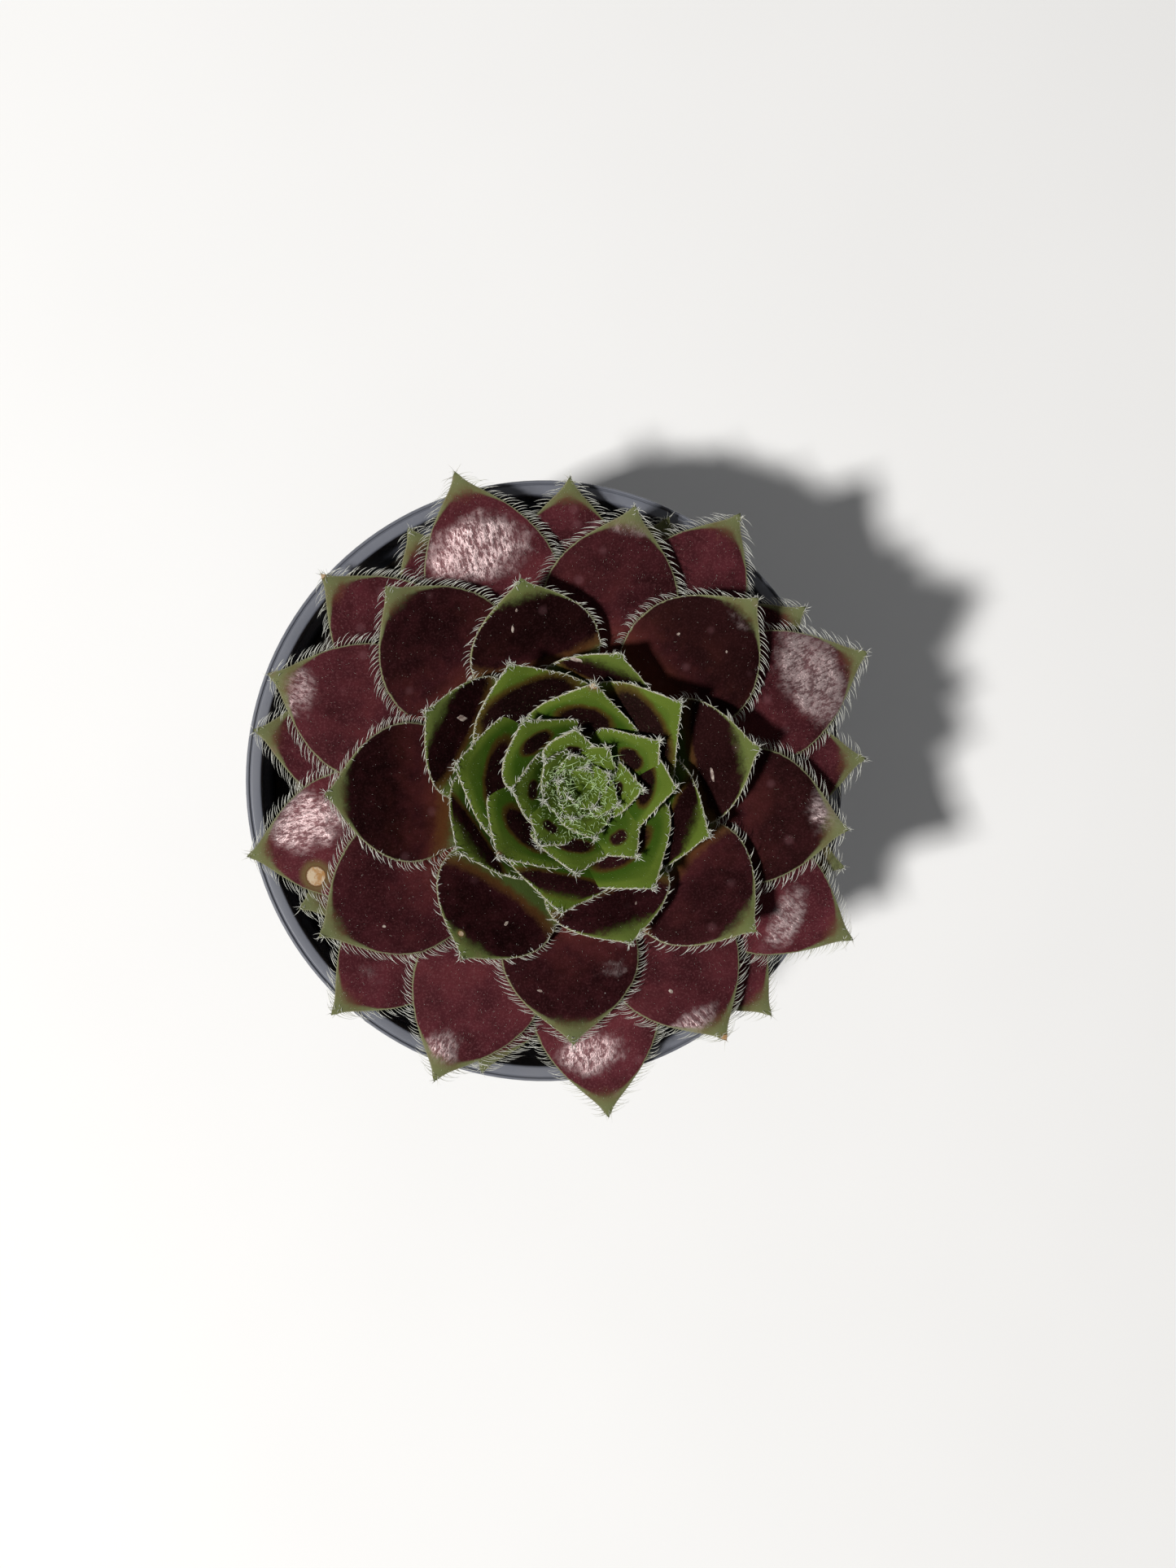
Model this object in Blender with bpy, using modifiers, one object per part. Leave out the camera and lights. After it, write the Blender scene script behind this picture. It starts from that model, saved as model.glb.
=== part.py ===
"""A potted houseleek: a Sempervivum rosette growing in a round nursery pot.

The leaves follow the golden-angle spiral of the living plant. Leaf 0 is the youngest of the dark
leaves; higher numbers are older and lie further out, negative numbers are the green heart.
The origin is the centre of the pot's underside, +Z is up, lengths are in metres.
"""

import math

import bmesh
import bpy
from mathutils import Vector, noise

MM = 0.001
GAP = 0.3 * MM

# Pot
POT_RIM_R = 45.0 * MM
POT_BASE_R = 32.0 * MM
POT_H = 68.0 * MM
POT_WALL = 1.0 * MM
POT_STEPS = 48
BAND_H = 9.0 * MM
FLOOR = 1.2 * MM
RING_LIFT = 2.0 * MM
DRAIN_HOLES = 6
DRAIN_R = 3.0 * MM
DRAIN_RING_R = 18.2 * MM

# Soil
SOIL_TOP = 59.4 * MM
STEM_R = 5.0 * MM
STEM_FOOT = 47.0 * MM

# Rosette: where its axis stands in the pot, and the spiral
AXIS = Vector((1.6 * MM, -1.0 * MM, 0.0))
GOLDEN = 137.508
PHASE = -20.5
OLDEST = 38
YOUNGEST_DARK = 0
YOUNGEST = -24
HEART_TURN = -13.0

# Leaves that grew a little out of the spiral: degrees of turn, millimetres further out
NUDGE = {
    -17: (0, -1.2), -16: (-8, -0.4), -15: (2, 0.8), -14: (6, -2.0), -13: (-7, 1.2), -12: (4, -1.4),
    -11: (-9, 0.0), -10: (-2, -0.9), -9: (2, -0.8), -8: (4, -1.5), -7: (-2, 0.7), -6: (0, -0.9),
    -5: (-3, 1.0), -4: (1, 2.0), -3: (9, 1.0), -2: (4, 0.3), -1: (5, 2.2), 1: (4, -0.5),
    2: (11, -2.0), 4: (5, 0.0), 6: (1, 1.2), 7: (9, 0.5), 8: (1, 0.6),
    9: (0, 1.4), 10: (2, 1.6), 11: (2, -1.2), 12: (4, 0.0), 14: (-4, 0.0), 15: (1, -1.5),
    16: (2, -1.2), 17: (-2, 0.8), 18: (0, 1.8), 19: (-2, -0.8), 20: (1, 0.7), 22: (-2, -0.4),
    23: (1, 0.0), 24: (-1, 1.5), 25: (-3, 0.0), 26: (1, -1.8), 27: (-3, 1.0), 28: (0, -0.6),
    30: (-5, 0.8), 32: (-5, -1.2), 35: (-3, -1.0), 37: (0, -3.0),
}
# Leaves that bend over or roll: tip lower (mm), then degrees added to the slope at base and at tip,
# then degrees of roll about the middle line
BENT = {
    17: (1.5, 8.0, -22.0, -6.0), 20: (1.0, 0.0, -4.0, -13.0), 22: (6.5, 16.0, -34.0, 0.0),
    24: (2.5, 8.0, -16.0, 11.0), 19: (1.0, 4.0, -10.0, 3.0),
}

# Leaves whose point swings round, in degrees, anticlockwise from above
SWIVEL = {-14: -16, -12: -7, -11: 8, -9: -10, -8: -9, -7: 6, -6: -6, -3: -9, -1: -6, 1: 8, 2: -6}

# How a leaf changes with its number along the spiral. Each row: leaf number,
# tip radius, tip height, base radius, base height, slope at the base and at the tip (degrees),
# greatest width, greatest thickness.
GROWTH = (
    (-30, 1.6, 88.6, 0.6, 84.2, 84, 80, 3.6, 1.3),
    (-20, 6.0, 91.0, 1.0, 82.4, 62, 66, 7.0, 1.5),
    (-13, 10.9, 92.2, 1.3, 80.9, 51, 59, 9.8, 1.7),
    (-10, 12.9, 92.7, 1.5, 80.3, 47, 57, 13.6, 1.8),
    (-5, 15.9, 93.0, 1.8, 79.0, 42, 54, 18.4, 2.0),
    (-1, 17.8, 92.9, 2.2, 77.8, 38, 52, 19.2, 2.1),
    (0, 18.8, 91.6, 2.0, 74.8, 34, 56, 18.6, 2.1),
    (5, 26.0, 89.0, 2.4, 73.0, 30, 48, 19.0, 2.5),
    (10, 36.0, 85.4, 2.6, 71.6, 24, 34, 20.4, 2.8),
    (15, 43.0, 81.6, 2.8, 69.6, 20, 22, 20.4, 2.8),
    (20, 47.8, 78.2, 3.0, 67.6, 18, 14, 19.4, 2.8),
    (30, 45.4, 74.2, 3.0, 63.8, 14, 14, 18.2, 2.6),
    (38, 42.6, 70.8, 3.0, 61.2, 10, 20, 17.6, 2.4),
)

# Outline of a leaf: share of the length, then the share of the greatest half width there
# for a grown leaf, which narrows to its point in an even curve, and for a young one
OUTLINE = (
    (0.00, 0.42, 0.52), (0.12, 0.46, 0.62), (0.30, 0.62, 0.84), (0.45, 0.83, 0.98),
    (0.58, 0.985, 0.98), (0.70, 0.955, 0.76), (0.78, 0.81, 0.54), (0.84, 0.635, 0.38),
    (0.88, 0.48, 0.28), (0.915, 0.33, 0.20), (0.945, 0.19, 0.13), (0.972, 0.085, 0.07),
    (1.00, 0.02, 0.03),
)
YOUNG_SPAN = 4.0
OLD_SPAN = 14.0
FLATTER = (1.6, 0.6)
SPOON = 0.09

# Where the rings of a leaf stand along it, closer together at the drawn-out tip
LEAF_SIDES = 10
LEAF_RINGS = (0.0, 0.12, 0.30, 0.46, 0.60, 0.72, 0.81, 0.87, 0.91, 0.95, 1.0)
HEART_SIDES = 8
HEART_RINGS = (0.0, 0.24, 0.48, 0.66, 0.79, 0.88, 0.94, 1.0)


def mix(a, b, t):
    return a + (b - a) * t


def along(table, x, column):
    """Value of one column of a table at x, on a smooth curve through its rows."""
    last = len(table) - 1
    if x <= table[0][0]:
        return table[0][column]
    if x >= table[last][0]:
        return table[last][column]
    i = 0
    while table[i + 1][0] < x:
        i += 1
    x0, x1 = table[i][0], table[i + 1][0]
    y0, y1 = table[i][column], table[i + 1][column]
    span = x1 - x0
    before = table[max(i - 1, 0)]
    after = table[min(i + 2, last)]
    m0 = (y1 - before[column]) / (x1 - before[0])
    m1 = (after[column] - y0) / (after[0] - x0)
    t = (x - x0) / span
    h00 = (1 + 2 * t) * (1 - t) ** 2
    h10 = t * (1 - t) ** 2
    h01 = t * t * (3 - 2 * t)
    h11 = t * t * (t - 1)
    return h00 * y0 + h10 * span * m0 + h01 * y1 + h11 * span * m1


def ease(x, low, high):
    """0 below low, 1 above high, and a smooth step between."""
    t = min(max((x - low) / (high - low), 0.0), 1.0)
    return t * t * (3.0 - 2.0 * t)


def azimuth(n):
    """Direction of leaf n round the axis, in radians. The innermost leaves lag behind."""
    lag = HEART_TURN * min(max((-n - 6) / 6.0, 0.0), 1.0)
    wobble = 2.0 * noise.noise(Vector((n * 0.73, 4.1, 0.0)))
    return math.radians(PHASE - GOLDEN * n + lag + wobble + NUDGE.get(n, (0, 0))[0])


def midrib(n):
    """The four Bezier points (radius, height) of leaf n's middle line."""
    rt, zt, rb, zb, a, b = (along(GROWTH, n, c) for c in range(1, 7))
    rt += NUDGE.get(n, (0, 0))[1]
    lower, more_a, more_b, _ = BENT.get(n, (0.0, 0.0, 0.0, 0.0))
    zt, a, b = zt - lower, a + more_a, b + more_b
    length = math.hypot(rt - rb, zt - zb)
    a = math.radians(a)
    b = math.radians(b)
    p1 = (rb + 0.38 * length * math.cos(a), zb + 0.38 * length * math.sin(a))
    p2 = (rt - 0.34 * length * math.cos(b), zt - 0.34 * length * math.sin(b))
    return ((rb, zb), p1, p2, (rt, zt))


def bezier(points, t):
    """Point and direction on a Bezier curve in the plane of radius and height."""
    p0, p1, p2, p3 = points
    s = 1 - t
    where = []
    way = []
    for i in (0, 1):
        where.append(s ** 3 * p0[i] + 3 * s * s * t * p1[i] + 3 * s * t * t * p2[i] + t ** 3 * p3[i])
        way.append(3 * s * s * (p1[i] - p0[i]) + 6 * s * t * (p2[i] - p1[i]) + 3 * t * t * (p3[i] - p2[i]))
    size = math.hypot(*way)
    return where, (way[0] / size, way[1] / size)


def leaf_point(n, t, across, side):
    """Point of leaf n at t along it. across and side are cosine and sine round its section.

    A young leaf is cut from a surface that curves about the axis and so closes round the younger
    ones. An old leaf only keeps the cupping of that surface, and is a little hollow like a spoon.
    """
    (r, z), (tr, tz) = bezier(midrib(n), t)
    young = min(max((2 - n) / YOUNG_SPAN, 0.0), 1.0)
    half = 0.5 * along(GROWTH, n, 7) * mix(along(OUTLINE, t, 1), along(OUTLINE, t, 2), young)
    thick = 0.5 * along(GROWTH, n, 8) * (0.72 + 0.5 * math.sin(math.pi * t ** 0.8))
    thick *= (1.0 - 0.72 * t ** 6) * min(1.0, 0.25 + half / 2.2)
    lift = side * thick * (1.15 if side < 0 else 0.85)
    old = min(max(n / OLD_SPAN, 0.0), 1.0)
    lift += old * SPOON * across * across * half * math.sin(math.pi * min(t, 0.9))
    lift += across * half * math.tan(math.radians(BENT.get(n, (0, 0, 0, 0))[3]))
    around = max(r, 1.0) * (1.0 + mix(*FLATTER, old))
    angle = across * half / around
    inward = around * (1.0 - math.cos(angle)) * (1.0 - old * tr * tr)
    over = around * math.sin(angle) - tz * lift * math.sin(angle)
    yaw = math.radians(SWIVEL.get(n, 0.0)) * ease(t, 0.30, 0.85)
    shift = over * math.sin(yaw)
    over = over * math.cos(yaw) + (r - midrib(n)[3][0]) * math.tan(yaw)
    r += -inward - tz * lift * math.cos(angle) - shift
    z += tr * lift + old * tr * tz * inward
    turn = azimuth(n)
    ahead = Vector((math.cos(turn), math.sin(turn), 0.0))
    beside = Vector((-math.sin(turn), math.cos(turn), 0.0))
    return AXIS + (ahead * r + beside * over + Vector((0.0, 0.0, z))) * MM


def leaf(n, sides, rings, home):
    """One leaf: a sphere's rings drawn out along the midrib, poles at its root and its tip."""
    bm = bmesh.new()
    bmesh.ops.create_uvsphere(bm, u_segments=sides, v_segments=len(rings) - 1, radius=1.0)
    for vert in bm.verts:
        turn = 1.0 - math.acos(max(-1.0, min(1.0, vert.co.z))) / math.pi
        t = rings[round(turn * (len(rings) - 1))]
        flat = math.hypot(vert.co.x, vert.co.y)
        if flat < 1e-6:
            vert.co = leaf_point(n, t, 0.0, 0.0)
        else:
            vert.co = leaf_point(n, t, vert.co.x / flat, vert.co.y / flat)
    bmesh.ops.triangulate(bm, faces=bm.faces)
    return mesh_object("leaf_%d" % n, bm, home)


def mesh_object(name, bm, home):
    mesh = bpy.data.meshes.new(name)
    bm.to_mesh(mesh)
    bm.free()
    obj = bpy.data.objects.new(name, mesh)
    home.objects.link(obj)
    return obj


def turned(name, profile, steps, home, merge=0.00001):
    """A profile of (radius, height) in millimetres, turned round the Z axis."""
    bm = bmesh.new()
    ring = [bm.verts.new((r * MM, 0.0, z * MM)) for r, z in profile]
    for a, b in zip(ring, ring[1:]):
        bm.edges.new((a, b))
    obj = mesh_object(name, bm, home)
    screw = obj.modifiers.new("Turned", "SCREW")
    screw.axis = "Z"
    screw.angle = 2 * math.pi
    screw.steps = steps
    screw.render_steps = steps
    screw.use_merge_vertices = True
    screw.merge_threshold = merge
    screw.use_smooth_shade = True
    return obj


def applied(obj):
    """Turn an object's modifiers into plain mesh."""
    graph = bpy.context.evaluated_depsgraph_get()
    mesh = bpy.data.meshes.new_from_object(obj.evaluated_get(graph))
    obj.modifiers.clear()
    old = obj.data
    obj.data = mesh
    bpy.data.meshes.remove(old)
    mesh.name = obj.name
    return obj


def material(name, colour, roughness, metallic=0.0):
    mat = bpy.data.materials.new(name)
    mat.use_nodes = True
    shader = mat.node_tree.nodes["Principled BSDF"]
    shader.inputs["Base Color"].default_value = (*colour, 1.0)
    shader.inputs["Roughness"].default_value = roughness
    shader.inputs["Metallic"].default_value = metallic
    return mat


def cylinder(name, radius, depth, where, sides, home):
    bm = bmesh.new()
    bmesh.ops.create_cone(
        bm, cap_ends=True, segments=sides, radius1=radius, radius2=radius, depth=depth
    )
    obj = mesh_object(name, bm, home)
    obj.location = where
    return obj


def cut(obj, cutter):
    cutter.hide_render = True
    cutter.display_type = "WIRE"
    mod = obj.modifiers.new("Cut " + cutter.name, "BOOLEAN")
    mod.operation = "DIFFERENCE"
    mod.solver = "EXACT"
    mod.object = cutter


def collection(name):
    made = bpy.data.collections.new(name)
    bpy.context.scene.collection.children.link(made)
    return made


def make_pot(home, cutters):
    """Thin moulded pot: a tapered wall, a wider rim band, a floor with a raised drain ring."""
    rim = POT_RIM_R / MM
    base = POT_BASE_R / MM
    top = POT_H / MM
    wall = POT_WALL / MM
    floor = FLOOR / MM
    lift = RING_LIFT / MM
    shoulder = top - BAND_H / MM
    neck = rim - 2.4
    profile = [
        (0.0, floor),
        (10.6, floor),
        (12.0, floor + lift),
        (24.6, floor + lift),
        (26.0, floor),
        (base - wall - 0.5, floor),
        (base - wall, floor + 0.6),
        (neck - wall, shoulder - 0.6),
        (rim - 2.5, shoulder + 1.4),
        (rim - 2.3, top - 0.8),
        (rim - 2.1, top - 0.3),
        (rim - 1.7, top - 0.1),
        (rim - 0.5, top),
        (rim - 0.1, top - 0.3),
        (rim, top - 1.0),
        (rim - 0.5, shoulder),
        (neck, shoulder - 0.9),
        (base, 0.8),
        (base - 0.7, 0.0),
        (26.8, 0.0),
        (25.4, lift),
        (11.2, lift),
        (9.8, 0.0),
        (0.0, 0.0),
    ]
    pot = turned("pot", profile, POT_STEPS, home)
    for i in range(DRAIN_HOLES):
        turn = 2 * math.pi * (i + 0.5) / DRAIN_HOLES
        where = Vector((math.cos(turn), math.sin(turn), 0.0)) * DRAIN_RING_R
        where.z = FLOOR
        cut(pot, cylinder("drain_%d" % i, DRAIN_R, 12 * MM, where, 16, cutters))
    pot.data.materials.append(material("black_blue_plastic", (0.018, 0.021, 0.027), 0.42))
    return pot


def make_soil(home, cutters):
    """Potting mix that fills the pot, with a plain hole where the stem stands."""
    gap = GAP / MM
    base = POT_BASE_R / MM
    wall = POT_WALL / MM
    floor = FLOOR / MM + gap
    lift = RING_LIFT / MM
    shoulder = (POT_H - BAND_H) / MM
    neck = POT_RIM_R / MM - 2.4 - wall
    top = SOIL_TOP / MM
    share = (top - 2.2 - floor - 0.6) / (shoulder - 0.6 - floor - 0.6)
    edge = mix(base - wall, neck, share) - gap - 0.1
    profile = [
        (0.0, top),
        (14.0, top),
        (28.0, top - 0.4),
        (edge - 3.0, top - 1.0),
        (edge, top - 2.2),
        (base - wall - gap - 0.1, floor + 0.8),
        (base - wall - gap - 0.8, floor),
        (26.4, floor),
        (25.0, floor + lift),
        (11.6, floor + lift),
        (10.2, floor),
        (0.0, floor),
    ]
    soil = turned("soil", profile, 40, home)
    depth = 40 * MM
    foot = AXIS + Vector((0.0, 0.0, STEM_FOOT - GAP + depth / 2))
    cut(soil, cylinder("stem_hole", STEM_R + 1.3 * GAP, depth, foot, 24, cutters))
    soil.data.materials.append(material("potting_mix", (0.022, 0.014, 0.010), 0.95))
    return soil


def keep_largest(mesh):
    """Fill hollows sealed between leaves and drop scraps: only the largest shell stays."""
    bm = bmesh.new()
    bm.from_mesh(mesh)
    waiting = set(bm.verts)
    shells = []
    while waiting:
        shell = {waiting.pop()}
        edge = list(shell)
        while edge:
            near = [e.other_vert(v) for v in edge for e in v.link_edges]
            edge = [v for v in near if v in waiting]
            waiting.difference_update(edge)
            shell.update(edge)
            edge = list(dict.fromkeys(edge))
        shells.append(shell)
    shells.sort(key=len)
    for shell in shells[:-1]:
        bmesh.ops.delete(bm, geom=list(shell), context="VERTS")
    bmesh.ops.triangulate(bm, faces=bm.faces)
    bm.to_mesh(mesh)
    bm.free()


def fuse(core, leaves, home):
    """Join all the leaves of one colour to their core in a single Boolean union."""
    group = bpy.data.collections.new("to_fuse")
    for obj in leaves:
        home.objects.unlink(obj)
        group.objects.link(obj)
    bpy.context.scene.collection.children.link(group)
    mod = core.modifiers.new("Fuse", "BOOLEAN")
    mod.operation = "UNION"
    mod.operand_type = "COLLECTION"
    mod.solver = "MANIFOLD"
    mod.collection = group
    bpy.context.view_layer.update()
    applied(core)
    for obj in leaves:
        mesh = obj.data
        bpy.data.objects.remove(obj)
        bpy.data.meshes.remove(mesh)
    bpy.data.collections.remove(group)
    keep_largest(core.data)
    core.data.set_sharp_from_angle(angle=math.radians(50))
    return core


def make_rosette(home):
    """Stem and dark leaves in one body; the stem's foot stands in the soil."""
    stem = STEM_R / MM
    profile = [
        (0.0, 76.2),
        (3.4, 76.0),
        (4.6, 72.0),
        (5.2, 66.0),
        (stem, 61.0),
        (stem, STEM_FOOT / MM + 1.0),
        (stem - 1.0, STEM_FOOT / MM),
        (0.0, STEM_FOOT / MM),
    ]
    core = turned("rosette", profile, 20, home)
    core.location = AXIS
    applied(core)
    leaves = [leaf(n, LEAF_SIDES, LEAF_RINGS, home) for n in range(YOUNGEST_DARK, OLDEST + 1)]
    fuse(core, leaves, home)
    core.data.materials.clear()
    core.data.materials.append(material("mahogany_leaf", (0.085, 0.018, 0.020), 0.45))
    return core


def make_heart(home):
    """Green inner leaves round a small growing point."""
    profile = [
        (0.0, 88.5),
        (1.2, 87.0),
        (2.4, 82.5),
        (2.6, 79.0),
        (1.8, 76.9),
        (0.0, 76.6),
    ]
    core = turned("heart", profile, 12, home)
    core.location = AXIS
    applied(core)
    leaves = [leaf(n, HEART_SIDES, HEART_RINGS, home) for n in range(YOUNGEST, YOUNGEST_DARK)]
    fuse(core, leaves, home)
    core.data.materials.clear()
    core.data.materials.append(material("green_leaf", (0.115, 0.185, 0.035), 0.5))
    return core


def main():
    for obj in list(bpy.data.objects):
        bpy.data.objects.remove(obj)
    home = collection("potted_houseleek")
    cutters = collection("cutters")
    make_pot(home, cutters)
    make_soil(home, cutters)
    make_rosette(home)
    make_heart(home)


main()
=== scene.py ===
# %% [markdown]
# # A potted houseleek
# A houseleek is a low rosette of fleshy leaves. This one has mahogany leaves with green margins,
# a green heart, and a fringe of white hairs on every leaf, and it grows in a thin black nursery pot.
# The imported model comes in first, as a fixed frame: the finer pieces made here stand where its
# solids stand, and take their places.

# %% Load the frame
import math

import bmesh
import bpy
import numpy as np
from mathutils import Matrix, Vector, noise


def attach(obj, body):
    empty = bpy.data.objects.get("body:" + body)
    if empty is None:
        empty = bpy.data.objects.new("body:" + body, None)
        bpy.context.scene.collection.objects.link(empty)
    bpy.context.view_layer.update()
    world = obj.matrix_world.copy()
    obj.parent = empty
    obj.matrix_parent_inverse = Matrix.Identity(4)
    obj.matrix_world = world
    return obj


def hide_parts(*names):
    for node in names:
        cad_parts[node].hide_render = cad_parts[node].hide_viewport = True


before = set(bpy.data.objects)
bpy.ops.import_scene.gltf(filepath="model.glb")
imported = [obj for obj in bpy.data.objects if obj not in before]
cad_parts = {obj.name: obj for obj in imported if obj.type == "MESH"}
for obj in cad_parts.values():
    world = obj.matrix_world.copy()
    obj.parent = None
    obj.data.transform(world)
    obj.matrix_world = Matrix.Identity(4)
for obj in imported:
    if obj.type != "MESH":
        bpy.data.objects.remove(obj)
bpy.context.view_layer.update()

MM = 0.001
print("nodes:", sorted(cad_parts))

# %% [markdown]
# ## Camera
# The photographer stood almost straight above the pot, leaning a little to its left: the round rim
# shows as an ellipse that is about 1% narrower than it is tall, and the rosette, which stands higher
# than the rim, is shifted to the right. A camera tipped 8.5 degrees about the picture's upright axis,
# 30 cm above the rim, gives both. Its axes are written out as a matrix, so that nothing has to be
# guessed from Euler angles.

# %% Camera
PHOTO_W, PHOTO_H = 1445, 1927
PIXELS_PER_M = 8220.0
DISTANCE = 0.300
LEAN = math.radians(8.5)
RIM_SEEN_AT = (677.0, 959.5)
RIM_HEIGHT = 68.0 * MM


def make_camera():
    right = Vector((math.cos(LEAN), 0.0, math.sin(LEAN)))
    up = Vector((0.0, 1.0, 0.0))
    forward = Vector((math.sin(LEAN), 0.0, -math.cos(LEAN)))
    aside = (RIM_SEEN_AT[0] - PHOTO_W / 2) / PIXELS_PER_M
    below = (RIM_SEEN_AT[1] - PHOTO_H / 2) / PIXELS_PER_M
    rim = Vector((0.0, 0.0, RIM_HEIGHT))
    place = rim - aside * right + below * up - DISTANCE * forward
    data = bpy.data.cameras.new("camera")
    data.sensor_fit = "VERTICAL"
    data.sensor_height = 24.0
    data.lens = 24.0 * DISTANCE * PIXELS_PER_M / PHOTO_H
    data.clip_start = 0.01
    camera = bpy.data.objects.new("camera", data)
    bpy.context.scene.collection.objects.link(camera)
    turned = Matrix((right, up, -forward)).transposed().to_4x4()
    turned.translation = place
    camera.matrix_world = turned
    bpy.context.scene.camera = camera
    return camera


camera = make_camera()
print("camera at", tuple(round(x, 4) for x in camera.matrix_world.translation), "lens", round(camera.data.lens, 2))

# %% [markdown]
# ## Small helpers
# Every piece ends up as a mesh object that rides on the one body, stands for a node of the packed
# model and takes that node's finish. One function does all three, so no piece can miss one.


# %% Piece helpers
def add_object(name, data):
    obj = bpy.data.objects.new(name, data)
    bpy.context.scene.collection.objects.link(obj)
    return obj


def make_piece(name, data, node, finish):
    obj = add_object(name, data)
    data.materials.append(finish)
    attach(obj, "root")
    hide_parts(node)
    return obj


def mix(a, b, share):
    return a + (b - a) * share


def clamp(x, low=0.0, high=1.0):
    return min(max(x, low), high)


def ease(x, low, high):
    """0 below low, 1 above high, and a smooth step between."""
    share = clamp((x - low) / (high - low))
    return share * share * (3.0 - 2.0 * share)


def along(table, x, column):
    """Value of one column of a table at x, on a smooth curve through its rows."""
    last = len(table) - 1
    if x <= table[0][0]:
        return table[0][column]
    if x >= table[last][0]:
        return table[last][column]
    i = 0
    while table[i + 1][0] < x:
        i += 1
    x0, x1 = table[i][0], table[i + 1][0]
    y0, y1 = table[i][column], table[i + 1][column]
    before, after = table[max(i - 1, 0)], table[min(i + 2, last)]
    m0 = (y1 - before[column]) / (x1 - before[0])
    m1 = (after[column] - y0) / (after[0] - x0)
    span = x1 - x0
    t = (x - x0) / span
    return (
        (1 + 2 * t) * (1 - t) ** 2 * y0
        + t * (1 - t) ** 2 * span * m0
        + t * t * (3 - 2 * t) * y1
        + t * t * (t - 1) * span * m1
    )


# %% [markdown]
# ## Shader maths in plain Python
# A leaf's colour is a sum of many soft masks. Written as nodes by hand, each mask is five lines of
# wiring, so a small class wraps a socket and gives it `+`, `-`, `*` and `/`: an expression such as
# `1 - band * 0.5` then adds the Math nodes by itself. Colours never pass through Math nodes, because
# those turn them grey. They go through Mix nodes instead.


# %% Shader class
class Value:
    """A number that changes over a surface: one output socket in a material's node tree."""

    def __init__(self, finish, socket):
        self.finish = finish
        self.socket = socket

    def maths(self, operation, *others):
        return self.finish.node("ShaderNodeMath", {"operation": operation}, dict(enumerate((self, *others))))

    def __add__(self, other):
        return self.maths("ADD", other)

    def __sub__(self, other):
        return self.maths("SUBTRACT", other)

    def __mul__(self, other):
        return self.maths("MULTIPLY", other)

    def __truediv__(self, other):
        return self.maths("DIVIDE", other)

    def __rsub__(self, other):
        return self.finish.node("ShaderNodeMath", {"operation": "SUBTRACT"}, {0: other, 1: self})

    def __rtruediv__(self, other):
        return self.finish.node("ShaderNodeMath", {"operation": "DIVIDE"}, {0: other, 1: self})

    __radd__ = __add__
    __rmul__ = __mul__

    def at_most(self, other):
        return self.maths("MINIMUM", other)

    def at_least(self, other):
        return self.maths("MAXIMUM", other)

    def distance(self):
        return self.maths("ABSOLUTE")

    def step(self, low, high):
        """0 at low, 1 at high, smooth between. low may be the greater."""
        settings = {"interpolation_type": "SMOOTHSTEP"}
        sockets = {"Value": self, "From Min": low, "From Max": high, "To Min": 0.0, "To Max": 1.0}
        return self.finish.node("ShaderNodeMapRange", settings, sockets)


class Finish:
    """A material under construction, with one Principled shader."""

    def __init__(self, name, **constants):
        self.material = bpy.data.materials.new(name)
        self.material.use_nodes = True
        self.tree = self.material.node_tree
        self.shader = self.tree.nodes["Principled BSDF"]
        for socket, value in constants.items():
            self.shader.inputs[socket.replace("_", " ")].default_value = value

    def feed(self, socket, value):
        if isinstance(value, Value):
            self.tree.links.new(value.socket, socket)
        elif isinstance(value, (tuple, list)) and len(value) == 3 and socket.type == "RGBA":
            socket.default_value = (*value, 1.0)
        else:
            socket.default_value = value

    def node(self, kind, settings=None, sockets=None, output=0):
        """Add any node: settings first, then the values or links of its sockets."""
        made = self.tree.nodes.new(kind)
        for key, value in (settings or {}).items():
            setattr(made, key, value)
        for key, value in (sockets or {}).items():
            self.feed(made.inputs[key], value)
        return Value(self, made.outputs[output])

    def attribute(self, name):
        return self.node("ShaderNodeAttribute", {"attribute_name": name}, output="Fac")

    def place(self):
        return self.node("ShaderNodeTexCoord", output="Object")

    def noise(self, size_mm, detail=2.0, roughness=0.5, stretch=None, where=None):
        """Cloudy noise whose blobs are about size_mm across."""
        where = where or self.place()
        if stretch:
            where = self.node("ShaderNodeMapping", {}, {"Vector": where, "Scale": stretch})
        sockets = {"Vector": where, "Scale": 1000.0 / size_mm, "Detail": detail, "Roughness": roughness}
        return self.node("ShaderNodeTexNoise", {}, sockets)

    def cells(self, size_mm):
        """Round cells, size_mm apart: the distance to the nearest middle, and one random number each."""
        sockets = {"Vector": self.place(), "Scale": 1000.0 / size_mm}
        away = self.node("ShaderNodeTexVoronoi", {}, sockets, "Distance")
        colour = Value(self, away.socket.node.outputs["Color"])
        return away, self.node("ShaderNodeSeparateColor", {}, {0: colour}, "Red")

    def blend(self, share, low, high):
        """Colour that goes from low to high as share goes from 0 to 1."""
        made = self.tree.nodes.new("ShaderNodeMix")
        made.data_type = "RGBA"
        made.clamp_factor = True
        colours = [socket for socket in made.inputs if socket.type == "RGBA"]
        self.feed(made.inputs[0], share)
        self.feed(colours[0], low)
        self.feed(colours[1], high)
        return Value(self, [socket for socket in made.outputs if socket.type == "RGBA"][0])

    def wear(self, **surface):
        for socket, value in surface.items():
            self.feed(self.shader.inputs[socket.replace("_", " ")], value)

    def relief(self, height, depth_mm, strength=1.0):
        """Bump: height runs from 0 to 1 over depth_mm."""
        sockets = {"Height": height, "Distance": depth_mm * MM, "Strength": strength}
        self.wear(Normal=self.node("ShaderNodeBump", {}, sockets))


print("shader helpers ready")

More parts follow.
